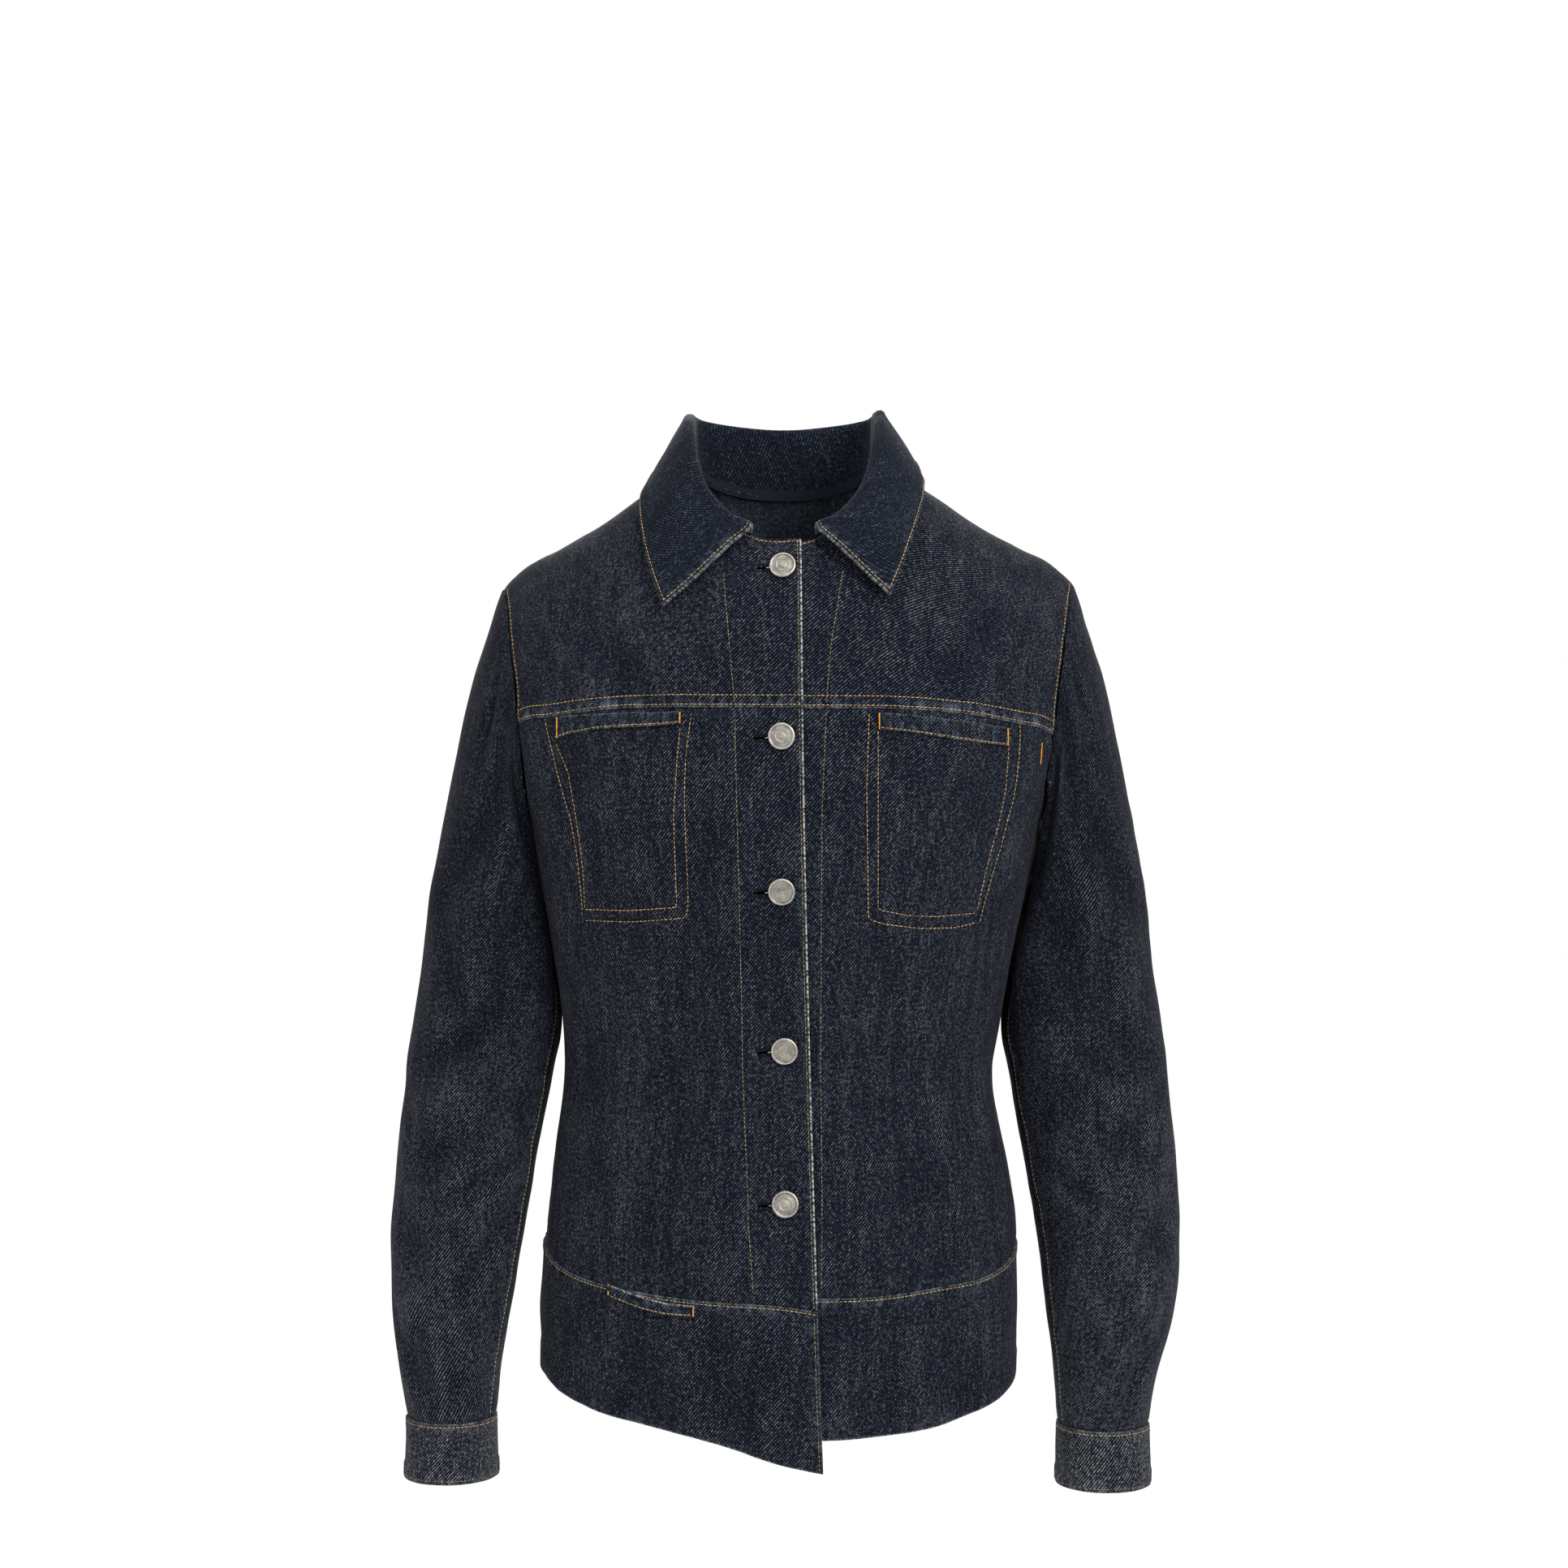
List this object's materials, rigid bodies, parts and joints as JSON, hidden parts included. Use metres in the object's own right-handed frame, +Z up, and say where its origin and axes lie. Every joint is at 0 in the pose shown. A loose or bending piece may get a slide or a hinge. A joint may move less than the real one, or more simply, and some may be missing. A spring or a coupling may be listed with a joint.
{
  "type": "denim jacket",
  "caption": "Fitted denim jacket in worn form, buttoned, with a turned-down collar, set-in sleeves with cuffs, chest welt pockets and a hem band that drops to a point at the front edge",
  "frame": {"origin": "midway between the two side neck points, where the jacket hangs on its wearer", "axes": "-Y is the front of the jacket, +Z is up, and the wearer's left is on the +X side"},
  "size_m": [0.5205, 0.2298, 0.7063],
  "materials": {
    "denim": "dark indigo twill denim, worn pale along its seams",
    "button_metal": "dull silver-coloured tack button"
  },
  "bodies": {
    "root": {"front_yoke_right": "denim", "front_yoke_left": "denim", "front_panel_right": "denim", "front_panel_left": "denim", "side_front_right": "denim", "side_front_left": "denim", "band_front_right": "denim", "band_front_left": "denim", "back_panel": "denim", "band_back": "denim", "top_sleeve_right": "denim", "top_sleeve_left": "denim", "under_sleeve_right": "denim", "under_sleeve_left": "denim", "cuff_right": "denim", "cuff_left": "denim", "collar": "denim", "chest_welt_right": "denim", "chest_welt_left": "denim", "band_welt_right": "denim", "front_button_1": "button_metal", "front_button_2": "button_metal", "front_button_3": "button_metal", "front_button_4": "button_metal", "front_button_5": "button_metal", "cuff_button_right": "button_metal", "cuff_button_left": "button_metal"}
  },
  "joints": []
}
